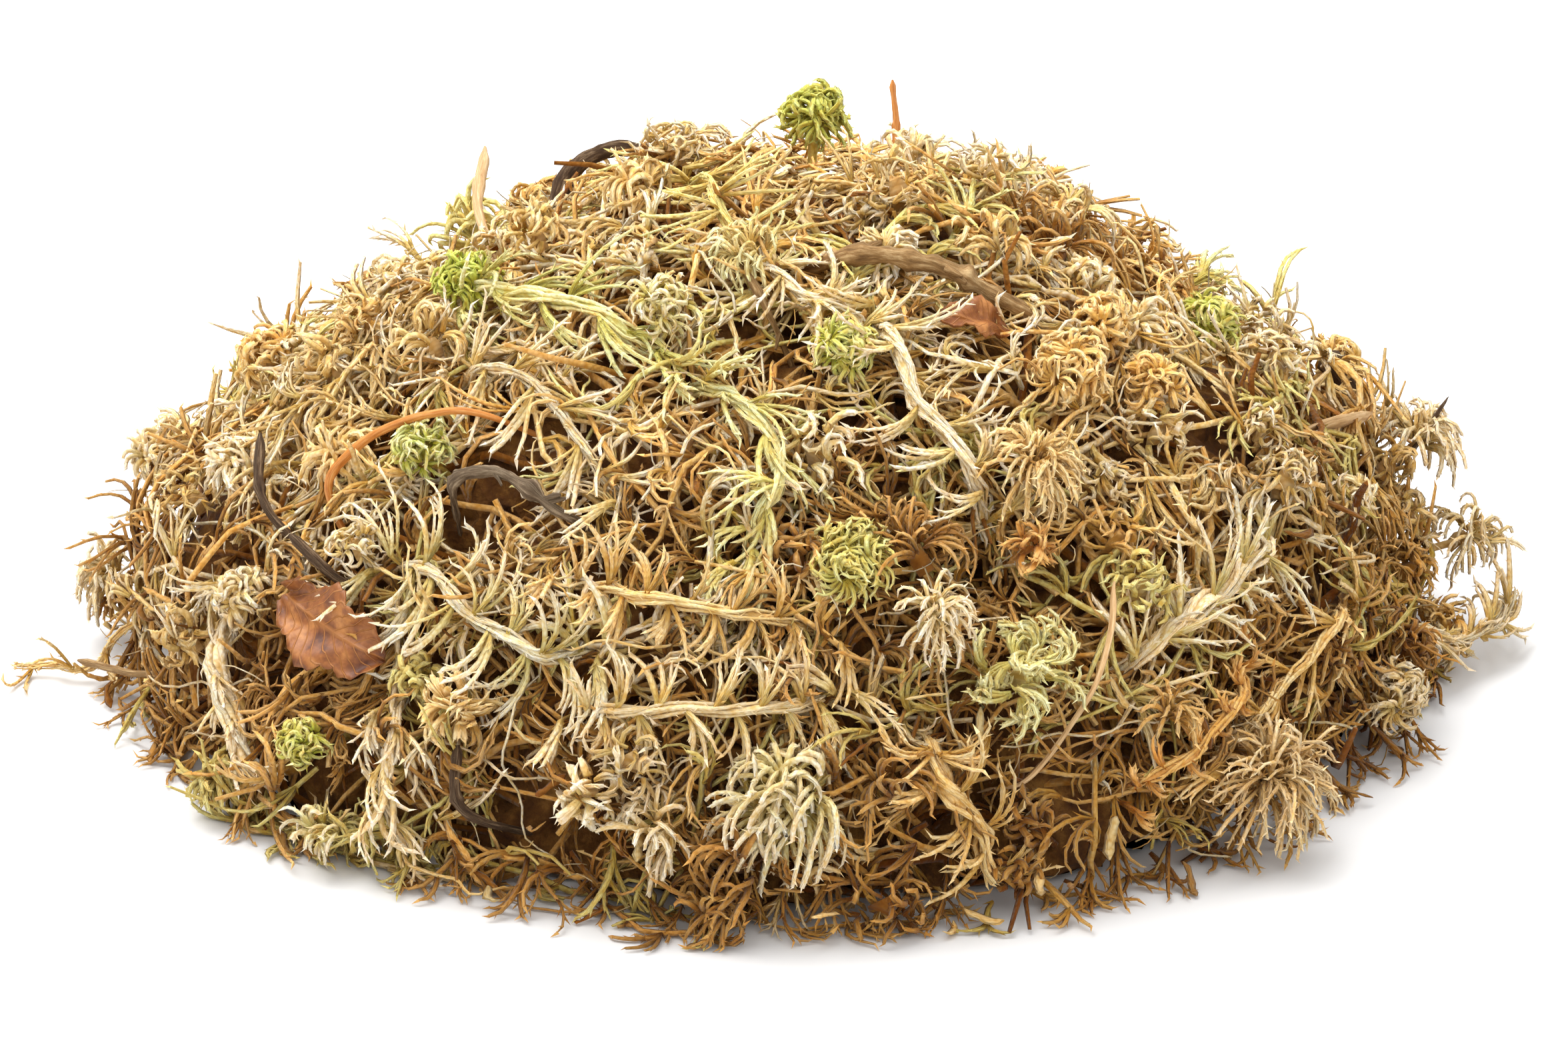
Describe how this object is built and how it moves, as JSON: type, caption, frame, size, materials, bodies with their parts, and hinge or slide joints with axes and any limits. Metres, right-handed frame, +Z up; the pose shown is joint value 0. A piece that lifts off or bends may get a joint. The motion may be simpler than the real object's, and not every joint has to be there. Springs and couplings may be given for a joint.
{
  "type": "sphagnum moss clump",
  "caption": "Loose rounded heap of dried sphagnum moss: a tangle of leafy stems with tufted heads, twigs, needles and a dead leaf, lying on its flat underside.",
  "frame": {"origin": "middle of the flat spot that the heap rests on, at table height", "axes": "+Z up, +X along the heap's longest side to the picture's right, -Y towards the picture's camera"},
  "size_m": [0.2282, 0.178, 0.0839],
  "materials": {
    "straw_moss": "dry, matt straw yellow",
    "green_moss": "dry, matt olive green",
    "pale_green_moss": "dry, matt pale green",
    "white_moss": "dry, matt bleached white",
    "golden_moss": "dry, matt golden brown",
    "brown_wood": "weathered twig",
    "dark_bark": "dark dry bark",
    "orange_brown": "satin orange-brown needle",
    "dead_leaf": "dry brown leaf with a satin side"
  },
  "bodies": {
    "root": {"moss_tangle": "straw_moss", "green_crown_head": "green_moss", "green_left_head": "green_moss", "green_centre_head": "green_moss", "green_back_head": "green_moss", "golden_head": "golden_moss", "fan_head": "straw_moss", "pale_ball_head": "pale_green_moss", "basket_head": "pale_green_moss", "flower_head": "straw_moss", "mint_head": "pale_green_moss", "olive_head": "pale_green_moss", "left_pale_head": "pale_green_moss", "left_golden_head": "golden_moss", "right_fan_head": "white_moss", "right_side_head": "straw_moss", "back_left_head": "straw_moss", "back_right_head": "golden_moss", "white_centre_stem": "white_moss", "yellow_centre_stem": "pale_green_moss", "comb_stem": "white_moss", "front_stem": "straw_moss", "upper_front_stem": "straw_moss", "right_stem": "white_moss", "front_right_stem": "golden_moss", "golden_root": "golden_moss", "top_loop_stem": "pale_green_moss", "scaly_left_stem": "white_moss", "back_stem": "straw_moss", "back_right_stem": "pale_green_moss", "back_left_stem": "white_moss", "trailing_left_stem": "golden_moss", "right_trailing_tuft": "straw_moss", "woody_twig": "brown_wood", "grey_twig": "dark_bark", "dark_left_stick": "dark_bark", "dark_low_stick": "dark_bark", "orange_needle": "orange_brown", "straw_blade": "straw_moss", "bark_strip": "dark_bark", "pale_stub": "brown_wood", "pink_stalk": "orange_brown", "dark_right_stalk": "dark_bark", "bark_chip": "dark_bark", "wood_shaving": "brown_wood", "dark_front_stick": "dark_bark", "orange_left_stick": "orange_brown", "grey_top_stalk": "brown_wood", "brown_leaf": "dead_leaf", "red_leaf_scrap": "dead_leaf"}
  },
  "joints": []
}
